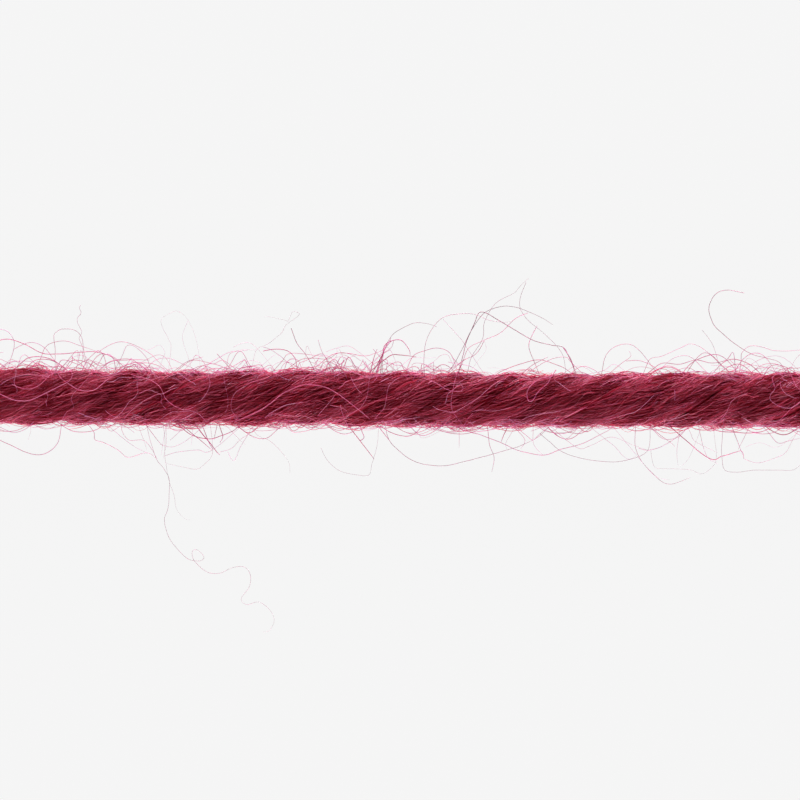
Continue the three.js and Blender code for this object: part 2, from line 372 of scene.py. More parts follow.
def lay_along_plies():
    """Fibres that lie along one ply and turn slowly round it, as they are spun."""
    grow = Growth(
        "lay_along_plies", "Middle", "Material", "Seed", "Hairs", "Steps", "Hair length",
        "Hair radius", "From", "To", "Innermost", "Ply turn", "Ply thickness", "Slub spacing",
        "Slub start", "Turn spread", "Turn wander", "Depth wander", "Lift", "Ragged ends",
    )
    shortest, longest = 0.3, 0.65  # half a fibre, as shares of the hair length
    thinnest, thickest = 0.6, 1.4  # as shares of the hair radius
    bends_a_mm = 0.55
    few = 4  # the power that leaves most fibres unlifted
    faces_in, fade = 0.3, 0.4  # a fibre that faces the strand's middle isn't pushed out
    how_far, size = grow.how_far(), grow.size
    centre = grow.random(size("From"), size("To"), 1)
    half = size("Hair length") * grow.random(shortest, longest, 2)
    ragged = size("Ragged ends")
    first = (centre - half).maths("MAXIMUM", grow.random(-0.5, 0.5, 3) * ragged - LENGTH / 2)
    last = (centre + half).maths("MINIMUM", grow.random(-0.5, 1.0, 4) * ragged + LENGTH / 2)
    along = first + (last - first) * how_far
    girth, side, height = grow.strand_at(along)
    turn_off, depth_off, _ = grow.wander(along / MM, bends_a_mm, 5)
    rate = (grow.random(-1, 1, 11) * size("Turn spread") + 1.0) * (TURN / SINGLES_LEAD)
    turn = grow.random(-math.pi, math.pi, 6) + (along - centre) * rate
    turn = turn + turn_off * size("Turn wander")
    slub = (along * TURN / size("Slub spacing") + size("Slub start")).maths("SINE")
    ply = girth * size("Ply thickness") * (slub * SLUB_SWELL + 1.0) * (PLY_RADIUS * OUTERMOST)
    inner = size("Innermost") * size("Innermost")
    depth = (inner + (1.0 - inner) * grow.random(0, 1, 7)).maths("SQRT")
    arch = (how_far * math.pi).maths("SINE")
    lift = size("Lift") * grow.random(0, 1, 10) ** few * arch
    out = ply * depth + depth_off * size("Depth wander") + lift
    lay = (CREST_AT - along) * (TURN / LEAD) + size("Ply turn")
    y = side + lay.maths("COSINE") * PLY_OFFSET + (lay + turn).maths("COSINE") * out
    z = height + lay.maths("SINE") * PLY_OFFSET + (lay + turn).maths("SINE") * out
    from_middle = ((y - side) ** 2 + (z - height) ** 2) ** 0.5
    filled = from_middle.maths("SMOOTH_MAX", girth * FURROW_FLOOR, FURROW_BLEND)
    outward = ((turn.maths("COSINE") + faces_in) / fade).clamped(0.0, 1.0)
    push = (filled / from_middle - 1.0) * outward + 1.0
    y = side + (y - side) * push
    z = height + (z - height) * push
    radius = size("Hair radius") * grow.random(thinnest, thickest, 8)
    curves = grow.placed(along, y, z.maths("MAXIMUM", radius))
    # How far out the fibre lies from the strand's middle, which the painted furrow shade reads.
    curves = grow.kept(curves, "crest", from_middle / REACH)
    return grow.spin(curves, radius)


def stand_off_strand():
    """Hairs that stand off the strand, as loops with both ends in it or as free ends."""
    grow = Growth(
        "stand_off_strand", "Middle", "Material", "Seed", "Hairs", "Steps", "Hair radius",
        "From", "To", "Facing", "Spread", "Least height", "Most height", "Run", "Lean",
        "Follow", "Curl", "Bends", "Loops",
    )
    thinnest, thickest = 0.55, 1.45  # as shares of the hair radius
    shortest = 0.3  # run, as a share of the longest
    low_ones = 3  # the power that keeps most hairs low
    loop_rises, end_rises = 0.8, 0.75  # the powers by which a loop and a free end rise
    sunk = 0.25 * MM  # how deep a hair starts in the strand
    root_thin, fills_out = 0.15, 8.0  # thickness at a root, and how soon it fills out
    tip_power, tip_loss = 4, 0.5  # how late, and by how much, a hair thins to its tip
    how_far, size = grow.how_far(), grow.size
    centre = grow.random(size("From"), size("To"), 1)
    facing = size("Facing") + grow.random(-1, 1, 2) * size("Spread")
    tall = size("Least height")
    tall = tall + (size("Most height") - tall) * grow.random(0, 1, 3) ** low_ones
    is_loop = size("Loops") > grow.random(0, 1, 4)
    arch = (how_far * math.pi).maths("SINE") ** loop_rises
    rise = is_loop * arch + (1.0 - is_loop) * how_far**end_rises
    way = (grow.random(0, 1, 11) > 0.5) * 2.0 - 1.0
    run = size("Run") * grow.random(shortest, 1, 5) * way
    off = grow.wander(how_far, size("Bends"), 6)
    curl = size("Curl") * rise * 2.0
    along = centre + (how_far - 0.5) * run + off[0] * curl
    along = along.clamped(-LENGTH / 2, LENGTH / 2)
    girth, side, height = grow.strand_at(along)
    lay = run * size("Follow") * (TURN / LEAD)
    turn = facing + (how_far - 0.5) * (grow.random(-1, 1, 7) * size("Lean") - lay)
    from_crest = (turn - (CREST_AT - along) * (TURN / LEAD)) * len(PLIES)
    furrow = (1.0 - from_crest.maths("COSINE")) * (FUZZ_SINKS / 2)
    out = girth * (PLY_RADIUS * FUZZ_ROOTS) + (PLY_OFFSET - sunk) - furrow + rise * (tall + sunk)
    y = side + turn.maths("COSINE") * out + off[1] * curl
    z = height + turn.maths("SINE") * out + off[2] * curl
    from_root = how_far.maths("MINIMUM", 1.0 - how_far * is_loop)
    thin = (from_root * fills_out + root_thin).maths("MINIMUM", 1.0)
    thin = thin * (1.0 - how_far**tip_power * tip_loss)
    radius = size("Hair radius") * grow.random(thinnest, thickest, 8)
    curves = grow.placed(along, y, z.maths("MAXIMUM", radius))
    return grow.spin(curves, radius * thin)


def draw_out():
    """Hairs along the chains of points that are handed in, drawn to smooth curves."""
    grow = Growth("draw_out", "Material", "Seed", "Step", "Shiver")
    bends_a_mm = 1.3
    tip_power, tip_loss = 5, 0.5  # how late, and by how much, a hair thins to its tip
    hairs = grow.node("GeometryNodeMeshToCurve", None, {0: grow.size("Geometry")})
    smooth = {"spline_type": "CATMULL_ROM"}
    hairs = grow.node("GeometryNodeCurveSplineType", smooth, {0: hairs})
    hairs = grow.node("GeometryNodeSetSplineResolution", None, {0: hairs, "Resolution": 16})
    sizes = {"Curve": hairs, "Length": grow.size("Step")}
    hairs = grow.node("GeometryNodeResampleCurve", {"mode": "LENGTH"}, sizes)
    length = grow.node("GeometryNodeSplineParameter", None, None, "Length")
    off = [axis * grow.size("Shiver") for axis in grow.wander(length / MM, bends_a_mm, 1)]
    hairs = grow.node("GeometryNodeSetPosition", None, {0: hairs, "Offset": grow.vector(*off)})
    radius = grow.node("GeometryNodeInputNamedAttribute", None, {"Name": "thickness"})
    return grow.spin(hairs, radius * (1.0 - grow.how_far() ** tip_power * tip_loss))


def unroll(mesh):
    """A map for the piece that gives each hair a cell, its length along the cell."""
    end_margin, side_margin = 0.15, 0.1  # left free round a hair, as shares of its cell
    cap = 0.1  # what a cut end takes up, as a share of the hair's length

    def kept(name):
        """A number that was kept at every point."""
        values = np.zeros(len(mesh.vertices), np.float32)
        mesh.attributes[name].data.foreach_get("value", values)
        return values

    vertex = np.zeros(len(mesh.loops), np.int32)
    mesh.loops.foreach_get("vertex_index", vertex)
    total = np.zeros(len(mesh.polygons), np.int32)
    mesh.polygons.foreach_get("loop_total", total)
    start = np.concatenate([[0], np.cumsum(total)[:-1]])
    hair, how_far, side = (kept(name)[vertex] for name in ("hair", "how_far", "corner"))
    cells = math.ceil(math.sqrt(hair.max() + 1))
    last_side = (np.maximum.reduceat(side, start) > 1.5) & (np.minimum.reduceat(side, start) < 0.5)
    seam = np.repeat(last_side & (total == 4), total)
    side = np.where(seam & (side < 0.5), HAIR_SIDES, side)
    is_cap = np.repeat(total == HAIR_SIDES, total)
    how_far = how_far + np.where(is_cap & (side == 1), np.where(how_far > 0.5, cap, -cap), 0)
    u = (hair % cells + end_margin + (1 - 2 * end_margin) * how_far) / cells
    v = (hair // cells + side_margin + (1 - 2 * side_margin) * side / HAIR_SIDES) / cells
    layer = mesh.uv_layers.new(name="OFBake")
    layer.data.foreach_set("uv", np.stack([u, v], 1).astype(np.float32).ravel())
    for name in ("hair", "corner"):
        mesh.attributes.remove(mesh.attributes[name])


def grown(name, tree, sizes, host=None):
    """What a tree grows, as a plain mesh."""
    holder = bpy.data.objects.new(name, host or bpy.data.meshes.new(name))
    growth = holder.modifiers.new("growth", "NODES")
    growth.node_group = tree
    for item in tree.interface.items_tree:
        if item.in_out == "INPUT" and item.name in sizes:
            growth[item.identifier] = sizes[item.name]
    scene.collection.objects.link(holder)
    seen = holder.evaluated_get(bpy.context.evaluated_depsgraph_get())
    mesh = bpy.data.meshes.new_from_object(seen)
    bpy.data.objects.remove(holder)
    mesh.name = name
    return mesh


def joined(name, meshes):
    """Several meshes of one material as one mesh, with their hairs numbered on."""
    first_hair = 0
    for mesh in meshes:
        numbers = np.zeros(len(mesh.vertices), np.float32)
        mesh.attributes["hair"].data.foreach_get("value", numbers)
        mesh.attributes["hair"].data.foreach_set("value", numbers + first_hair)
        first_hair += numbers.max() + 1
    parts = [bpy.data.objects.new(name, mesh) for mesh in meshes]
    for part in parts:
        scene.collection.objects.link(part)
    with bpy.context.temp_override(
        active_object=parts[0], object=parts[0], selected_editable_objects=parts
    ):
        bpy.ops.object.join()
    mesh = parts[0].data
    bpy.data.objects.remove(parts[0])
    return mesh


def piece(name, mesh):
    """Makes a mesh a piece of the yarn."""
    mesh.polygons.foreach_set("use_smooth", [True] * len(mesh.polygons))
    made = bpy.data.objects.new(name, mesh)
    made.data.name = name
    scene.collection.objects.link(made)
    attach(made, "root")
    return made


def hairs_piece(name, meshes):
    """Makes a piece of one or more meshes of hairs."""
    mesh = joined(name, meshes) if len(meshes) > 1 else meshes[0]
    unroll(mesh)
    return piece(name, mesh)


def srgb(*levels):
    """A colour from its levels out of 255, as the shader takes it."""
    shares = [x / 255 for x in levels]
    return (*[s / 12.92 if s < 0.04045 else ((s + 0.055) / 1.055) ** 2.4 for s in shares], 1.0)


# The dye's shades, from the body of the yarn out to its palest hairs. The edge shades are partly
# the fuzz's own colour and partly painted light shining through the fuzz at the strand's sides.
PACKED_RED, PACKED_ROSE = srgb(150, 22, 44), srgb(196, 44, 72)
DEEP, CRIMSON, ROSE = srgb(108, 21, 34), srgb(169, 35, 54), srgb(206, 68, 100)
FACE_RED, FACE_ROSE = srgb(164, 26, 46), srgb(212, 62, 92)
EDGE_ROSE, EDGE_PINK, EDGE_PALE = srgb(226, 58, 90), srgb(244, 90, 134), srgb(250, 134, 182)
CURL_ROSE, CURL_PINK = srgb(206, 70, 112), srgb(228, 104, 152)
CERISE, PINK, ORCHID = srgb(200, 78, 132), srgb(224, 94, 150), srgb(234, 132, 188)
DUSKY, MAUVE = srgb(130, 70, 98), srgb(184, 78, 126)

FIBRE_GLOSS = 0.06
COLOURS_PASS = (1.0, 0.85, 0.9)  # how far red, green and blue light pass into a fibre


def new_material(name):
    """An empty material and its tree."""
    material = bpy.data.materials.new(name)
    material.use_nodes = True
    material.node_tree.nodes.clear()
    return material, Tree(material.node_tree)


def surface(tree, looks):
    """Ends a material's tree with a surface of these looks."""
    shader = tree.node("ShaderNodeBsdfPrincipled", None, looks)
    tree.node("ShaderNodeOutputMaterial", None, {"Surface": shader})


def wool(tree, colour, roughness, light_passes, passing=1.0):
    """Ends a material's tree with wool: matt, and light passes some way through it."""
    surface(tree, {
        "Base Color": colour,
        "Roughness": roughness,
        "Specular IOR Level": FIBRE_GLOSS,
        "Subsurface Weight": passing,
        "Subsurface Radius": COLOURS_PASS,
        "Subsurface Scale": light_passes,
    })


def hair_material(name, stops, painted_furrow_shade=0.0, passing=1.0):
    """Dyed fibre: each hair has its own shade, and the dye took unevenly along it; painted shade
    can darken it towards the furrows.
    """
    material, tree = new_material(name)
    own_share, dye_share = 0.5, 0.5
    dye_scale = 900.0  # patches of dye to the metre
    place = tree.node("ShaderNodeTexCoord", None, None, "Object")
    uneven = tree.noise(place, dye_scale, 2.0)
    shade = tree.attribute("tint") * own_share + uneven * dye_share
    # Painted shade: fibres that lie deeper, in the furrows between plies, are made darker.
    if painted_furrow_shade:
        shade = shade - (1.0 - tree.attribute("crest")) * painted_furrow_shade
    colour = tree.node("ShaderNodeValToRGB", {"stops": stops}, {0: shade})
    wool(tree, colour, roughness=0.5, light_passes=0.05 * MM, passing=passing)
    return material


def ply_material():
    """The plies' own surface, which shows between the fibres that lie on it."""
    material, tree = new_material("packed_fibre")
    lengthwise = tree.node("ShaderNodeUVMap", {"uv_map": "OFBake"})
    drawn_out = {"Vector": lengthwise, "Scale": (60.0, 260.0, 1.0)}
    streaks = tree.noise(tree.node("ShaderNodeMapping", None, drawn_out), 1.0, 3.0)
    stops = [(0.3, PACKED_RED), (0.7, PACKED_ROSE)]
    colour = tree.node("ShaderNodeValToRGB", {"stops": stops}, {0: streaks})
    wool(tree, colour, roughness=0.8, light_passes=0.4 * MM)
    return material


def plies_mesh():
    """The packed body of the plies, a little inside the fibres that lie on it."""
    rings, points = 241, 48
    under = 0.05 * MM
    along = np.linspace(-LENGTH / 2, LENGTH / 2, rings)[:, None]
    angle = np.linspace(0, TURN, points, endpoint=False)[None, :]
    radius = np.maximum(outline(angle, along), station("girth", along) * FURROW_FLOOR) - under
    side, height = middle(along)
    turned = angle + lay_angle(along)
    x = np.broadcast_to(along, radius.shape)
    y = side + radius * np.cos(turned)
    z = np.maximum(height + radius * np.sin(turned), 0)
    ends = [(along[i, 0], float(side[i, 0]), float(height[i, 0])) for i in (0, -1)]
    vertices = np.concatenate([np.stack([x, y, z], 2).reshape(-1, 3), ends])
    du, dv = 1 / rings, 1 / points
    faces, unrolled = [], []
    for ring in range(rings - 1):
        for i in range(points):
            j = (i + 1) % points
            here, there = ring * points, (ring + 1) * points
            faces.append((here + i, here + j, there + j, there + i))
            u, v = ring / rings, i / points
            unrolled += [(u, v), (u, v + dv), (u + du, v + dv), (u + du, v)]
    first, last, final = rings * points, rings * points + 1, (rings - 1) * points
    for i in range(points):
        j = (i + 1) % points
        faces += [(first, j, i), (last, final + i, final + j)]
        for u in (0.0, 1.0 - du):
            v = i / points
            unrolled += [(u, v), (u + du, v), (u + du, v + dv)]
    mesh = bpy.data.meshes.new("plies")
    mesh.from_pydata(vertices.tolist(), [], faces)
    layer = mesh.uv_layers.new(name="OFBake")
    layer.data.foreach_set("uv", np.array(unrolled, np.float32).ravel())
    return mesh


plies = piece("plies", plies_mesh())
plies.data.materials.append(ply_material())
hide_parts("strand")


def middle_line():
    """The strand's middle as a curve, with its girth as the curve's radius."""
    points = 221
    along = np.linspace(-LENGTH / 2, LENGTH / 2, points)
    side, height = middle(along)
    curve = bpy.data.curves.new("middle_line", "CURVE")
    curve.dimensions = "3D"
    line = curve.splines.new("POLY")
    line.points.add(points - 1)
    places = np.stack([along, side, height, np.ones(points)], 1)
    line.points.foreach_set("co", places.astype(np.float32).ravel())
    line.points.foreach_set("radius", station("girth", along).astype(np.float32))
    holder = bpy.data.objects.new("middle_line", curve)
    scene.collection.objects.link(holder)
    return holder


MIDDLE = middle_line()

# Fibre of each kind. A colour comes in at a place from 0 to 1 on the scale of shades.
# The spun fibre carries painted shade in the furrows between plies.
spun = hair_material(
    "spun_fibre", [(0.0, DEEP), (0.5, CRIMSON), (0.95, ROSE)], painted_furrow_shade=0.45, passing=0.55
)
# Painted light: the frayed fuzz at the strand's sides is paler, as if light shone through it.
frayed = hair_material(
    "frayed_fibre_painted_glow", [(0.2, EDGE_ROSE), (0.6, EDGE_PINK), (0.9, EDGE_PALE)], passing=0.8
)
loose = hair_material("loose_fibre", [(0.2, CERISE), (0.5, PINK), (0.8, ORCHID)])
stray = hair_material("stray_fibre", [(0.2, DUSKY), (0.7, MAUVE)])
on_face = hair_material("surface_fibre", [(0.2, FACE_RED), (0.8, FACE_ROSE)], passing=0.5)
curled = hair_material("curled_fibre", [(0.2, CURL_ROSE), (0.8, CURL_PINK)], passing=0.75)

ALONG_PLIES = lay_along_plies()
OFF_STRAND = stand_off_strand()
DRAWN_OUT = draw_out()

FIBRES_A_PLY = 2300
PAST_ENDS = 1.2 * MM  # fibres are grown to this far past the ends, where they are cut
CUT_ENDS_A_PLY = 150
AT_END = 0.1 * MM  # how near the end of the strand those are


def ply_sizes(number, ply):
    """The sizes of the fibres that lie along a ply."""
    return {
        "Middle": MIDDLE,
        "Material": spun,
        "Seed": 100 * number + 7,
        "Hairs": FIBRES_A_PLY,
        "Steps": 12,
        "Hair length": 6.5 * MM,
        "Hair radius": 0.0155 * MM,
        "From": -LENGTH / 2 - PAST_ENDS,
        "To": LENGTH / 2 + PAST_ENDS,
        "Innermost": 0.93,
        "Ply turn": TURN * number / len(PLIES) + ply["leads"],
        "Ply thickness": ply["thickness"],
        "Slub spacing": ply["slub_spacing"],
        "Slub start": ply["slub_start"],
        "Turn spread": 1.3,
        "Turn wander": 1.4,
        "Depth wander": 0.015 * MM,
        "Lift": 0.04 * MM,
        "Ragged ends": 0.25 * MM,
    }


def cut_ends():
    """The fibres' cut ends, which fill both end faces of the strand."""
    straight = dict.fromkeys(["Turn spread", "Turn wander", "Depth wander", "Lift"], 0.0)
    meshes = []
    for number, ply in enumerate(PLIES):
        for end in (-LENGTH / 2, LENGTH / 2):
            sizes = ply_sizes(number, ply) | straight | {
                "Seed": 31 + 10 * number + (end > 0),
                "Hairs": CUT_ENDS_A_PLY,
                "Steps": 4,
                "Hair length": 1.4 * MM,
                "From": end - AT_END,
                "To": end + AT_END,
                "Innermost": 0.0,
            }
            meshes.append(grown("cut_ends", ALONG_PLIES, sizes))
    hairs_piece("cut_ends", meshes)


for number, ply in enumerate(PLIES):
    name = f"ply_fibres_{number + 1}"
    hairs_piece(name, [grown(name, ALONG_PLIES, ply_sizes(number, ply))])
cut_ends()

# The ways in which fuzz stands off the strand: up or down the picture, out of it,
# towards the floor, and between these.
UP, OUT, DOWN, UNDER = 0.0, math.pi / 2, math.pi, -math.pi / 2
UP_LOW, DOWN_LOW = -0.05 * math.pi, 1.08 * math.pi
UP_EDGE, DOWN_EDGE = 0.05 * math.pi, 0.95 * math.pi
UP_SHOULDER, DOWN_SHOULDER = 0.2 * math.pi, 0.8 * math.pi

# The fuzz of each piece, a row for each growth of it, between two columns of the
# picture. Heights, runs and curls are in pixels, and radii in thousandths of a
# millimetre.
FUZZ_COLUMNS = {
    "From": 1, "To": 1, "Facing": 1, "Spread": 1, "Hairs": 1, "Least height": PIXEL,
    "Most height": PIXEL, "Run": PIXEL, "Lean": 1, "Follow": 1, "Curl": PIXEL, "Bends": 1,
    "Loops": 1, "Hair radius": 0.001 * MM, "Steps": 1,
}
FUZZ = {
    # Short frayed ends along both edges, made paler by painted light shining through them.
    "frayed_edges": [
        (-60, 860, UP_LOW, 0.55, 380, 1.5, 7.5, 60, 0.3, 0, 3, 1.2, 0.9, 15, 9),
        (-60, 860, UP_EDGE, 0.4, 760, 0.4, 3.5, 44, 0.3, 0.7, 3, 1.2, 0.9, 13, 9),
        (-60, 860, UP_SHOULDER, 0.35, 260, 0.2, 2.0, 40, 0.3, 0.8, 3, 1.2, 0.9, 12.5, 9),
        (-60, 860, DOWN_LOW, 0.5, 420, 1.5, 7.5, 60, 0.3, 0, 3, 1.2, 0.9, 15, 9),
        (-60, 860, DOWN_EDGE, 0.38, 680, 0.4, 3.5, 44, 0.3, 0.7, 3, 1.2, 0.9, 13, 9),
        (-60, 860, DOWN_SHOULDER, 0.35, 240, 0.2, 2.0, 40, 0.3, 0.8, 3, 1.2, 0.9, 12.5, 9),
    ],
    # Loose loops and ends above and below the strand.
    "upper_fuzz": [
        (-60, 860, UP, 0.8, 40, 3, 14, 70, 0.6, 0, 11, 2.2, 0.8, 12, 26),
        (-20, 150, UP, 0.5, 38, 7, 25, 70, 0.5, 0, 11, 2.2, 0.85, 13, 26),
        (130, 260, UP, 0.6, 30, 3, 16, 60, 0.5, 0, 9, 2.2, 0.85, 12, 26),
        (240, 350, UP, 0.6, 24, 3, 15, 60, 0.5, 0, 8, 2.2, 0.85, 12, 26),
        (310, 440, UP, 0.5, 40, 7, 25, 50, 0.5, 0, 12, 2.4, 0.85, 12, 26),
        (440, 860, UP, 0.6, 36, 2, 9, 70, 0.5, 0, 6, 1.5, 0.85, 13, 26),
        (680, 790, UP, 0.5, 16, 8, 24, 70, 0.5, 0, 7, 1.5, 0.85, 13, 26),
        (-64, -10, UP, 0.9, 8, 5, 36, 80, 0.6, 0, 14, 1.6, 0.75, 12.5, 26),
        (810, 864, UP, 0.9, 8, 5, 36, 80, 0.6, 0, 14, 1.6, 0.75, 12.5, 26),
    ],
    "lower_fuzz": [
        (-60, 860, DOWN, 0.8, 44, 3, 12, 70, 0.6, 0, 9, 2.0, 0.8, 12, 26),
        (100, 350, DOWN, 0.6, 40, 2, 11, 70, 0.5, 0, 6, 1.5, 0.85, 13, 26),
        (400, 590, DOWN, 0.6, 60, 2, 12, 70, 0.5, 0, 6, 1.5, 0.85, 13, 26),
        (740, 860, DOWN, 0.6, 24, 2, 14, 70, 0.5, 0, 7, 1.5, 0.85, 13, 26),
        (-64, -10, DOWN, 0.9, 8, 5, 36, 80, 0.6, 0, 14, 1.6, 0.75, 12.5, 26),
        (810, 864, DOWN, 0.9, 8, 5, 36, 80, 0.6, 0, 14, 1.6, 0.75, 12.5, 26),
    ],
    # Hairs that lie over the face of the strand, and a few below it.
    "face_hairs": [
        (-60, 860, OUT, 0.9, 40, 0.1, 1.5, 60, 0.6, 0.7, 6, 1.6, 0.95, 12, 26),
        (-60, 860, OUT, 0.9, 30, 0.1, 2.5, 60, 1.6, 0.0, 12, 2.0, 0.97, 11, 26),
        (-60, 860, OUT, 1.0, 300, 0.1, 2.5, 50, 0.4, 0.8, 3, 1.2, 0.9, 12, 9),
        (-60, 860, OUT, 0.9, 34, 3, 12, 60, 0.6, 0.4, 10, 2.0, 0.85, 11, 26),
        (-60, 860, UNDER, 0.8, 60, 0.3, 4, 50, 1.0, 0.5, 8, 1.4, 0.85, 13, 26),
    ],
}
FUZZ_MATERIALS = {"face_hairs": on_face, "frayed_edges": frayed}


def fuzz_sizes(row, number, material):
    """The sizes of one growth of fuzz, from its row of the table."""
    columns = zip(FUZZ_COLUMNS.items(), row)
    sizes = {name: value * unit for (name, unit), value in columns}
    for end in ("From", "To"):
        sizes[end] = in_picture(sizes[end], 0)[0]
    return sizes | {"Middle": MIDDLE, "Material": material, "Seed": 500 + 20 * number}


growths = 0
for name, rows in FUZZ.items():
    meshes = []
    for row in rows:
        sizes = fuzz_sizes(row, growths, FUZZ_MATERIALS.get(name, loose))
        meshes.append(grown(name, OFF_STRAND, sizes))
        growths += 1
    hairs_piece(name, meshes)

# Hairs as the places that they pass, in columns and rows of the picture. Each table
# goes from left to right, more or less, and says how thick a hair is against others.

# The longest ones take the place of solids of their own, named hair_ and their keys. Each has its
# tier first: a hair of a higher tier passes over those that it crosses.
STRAY_HAIRS = {
    "hanging": (0, 0.7, [
        (145, 419), (150, 440), (157, 460), (163, 468), (169, 480), (169, 500), (167, 511),
        (164, 519), (166, 530), (171, 541), (182, 554), (190, 560), (200, 561), (204, 558),
        (203, 555), (197, 550), (192, 551), (193, 559), (200, 567), (209, 573), (221, 573),
        (232, 568), (244, 567), (250, 574), (250, 586), (243, 595), (241, 600), (247, 605),
        (258, 602), (268, 608), (274, 619), (270, 630), (263, 632)]),
    "beside_hanging": (1, 0.5, [
        (163, 419), (165, 440), (165, 457), (169, 480), (174, 495), (177, 510), (185, 519),
        (190, 520)]),
    "low_loop": (2, 0.5, [
        (210, 419), (212, 440), (212, 455), (205, 464), (197, 469), (183, 467), (169, 464),
        (165, 462)]),
    "drooping": (0, 0.5, [(250, 419), (256, 434), (270, 441), (281, 452), (289, 463), (290, 473)]),
    "low_hook": (1, 0.5, [
        (321, 448), (328, 461), (340, 471), (357, 475), (369, 475), (372, 464), (376, 450),
        (378, 436), (379, 419)]),
    "long_bow": (0, 1.0, [
        (385, 419), (389, 440), (400, 452), (412, 460), (428, 465), (445, 466), (462, 462),
        (478, 458), (500, 452), (520, 446), (538, 437), (548, 428), (554, 419)]),
    "second_bow": (1, 0.9, [
        (540, 434), (551, 443), (561, 451), (580, 458), (608, 462), (628, 460), (645, 453),
        (650, 441), (650, 419)]),
    "deep_bow": (0, 0.9, [
        (636, 419), (635, 445), (641, 460), (651, 472), (662, 482), (673, 484), (690, 477)]),
    "right_bow": (1, 0.5, [
        (651, 450), (653, 463), (656, 468), (673, 469), (690, 470), (701, 474), (711, 468),
        (716, 459), (715, 440), (712, 419)]),
    "edge": (0, 0.7, [
        (724, 419), (722, 440), (722, 458), (725, 470), (738, 472), (757, 470), (777, 470),
        (793, 470), (802, 464), (811, 461)]),
    "left_loop": (0, 0.9, [
        (56, 377), (55, 350), (54, 336), (57, 332), (62, 329), (74, 330), (82, 338), (84, 351),
        (91, 377)]),
    "squiggle": (1, 0.7, [
        (81, 305), (79, 308), (81, 313), (77, 320), (82, 332), (79, 338), (83, 352), (79, 377)]),
    "tall_arch": (0, 0.4, [
        (168, 377), (171, 348), (169, 340), (163, 329), (161, 322), (162, 318), (167, 315),
        (177, 311), (187, 319), (195, 336), (199, 356), (200, 377)]),
    "curled_tip": (0, 0.5, [
        (250, 377), (256, 351), (268, 344), (282, 333), (286, 325), (299, 315), (297, 312),
        (292, 312), (288, 321), (284, 320), (271, 317), (264, 317)]),
    "leaning": (1, 1.1, [(291, 328), (297, 343), (306, 355), (318, 377)]),
    "left_arc": (0, 1.0, [
        (383, 377), (383, 356), (390, 338), (401, 329), (415, 323), (429, 324), (437, 327)]),
    "wide_arc": (3, 0.8, [
        (425, 377), (424, 360), (426, 341), (434, 326), (444, 317), (458, 314), (473, 314),
        (488, 320), (504, 322), (512, 321)]),
    "bent_arc": (1, 1.0, [
        (446, 377), (458, 357), (470, 333), (481, 316), (492, 309), (508, 306), (527, 311),
        (544, 319), (553, 325)]),
    "steep_arch": (0, 1.3, [
        (457, 377), (462, 360), (467, 340), (475, 322), (479, 313), (486, 313), (501, 322),
        (515, 330), (535, 341), (552, 345), (564, 348), (572, 364), (575, 377)]),
    "tall": (2, 0.8, [
        (467, 377), (471, 358), (483, 338), (484, 323), (491, 309), (500, 300), (514, 293),
        (521, 285), (529, 278)]),
    "falling": (3, 0.8, [
        (526, 282), (521, 295), (520, 308), (528, 320), (541, 331), (553, 342), (563, 356),
        (566, 377)]),
    "slim": (1, 0.6, [(702, 330), (710, 340), (715, 350), (718, 362), (721, 377)]),
    "hooked": (0, 1.1, [
        (744, 293), (727, 290), (715, 295), (709, 308), (713, 323), (723, 334), (738, 346),
        (752, 354), (766, 358), (780, 363), (788, 377)]),
}

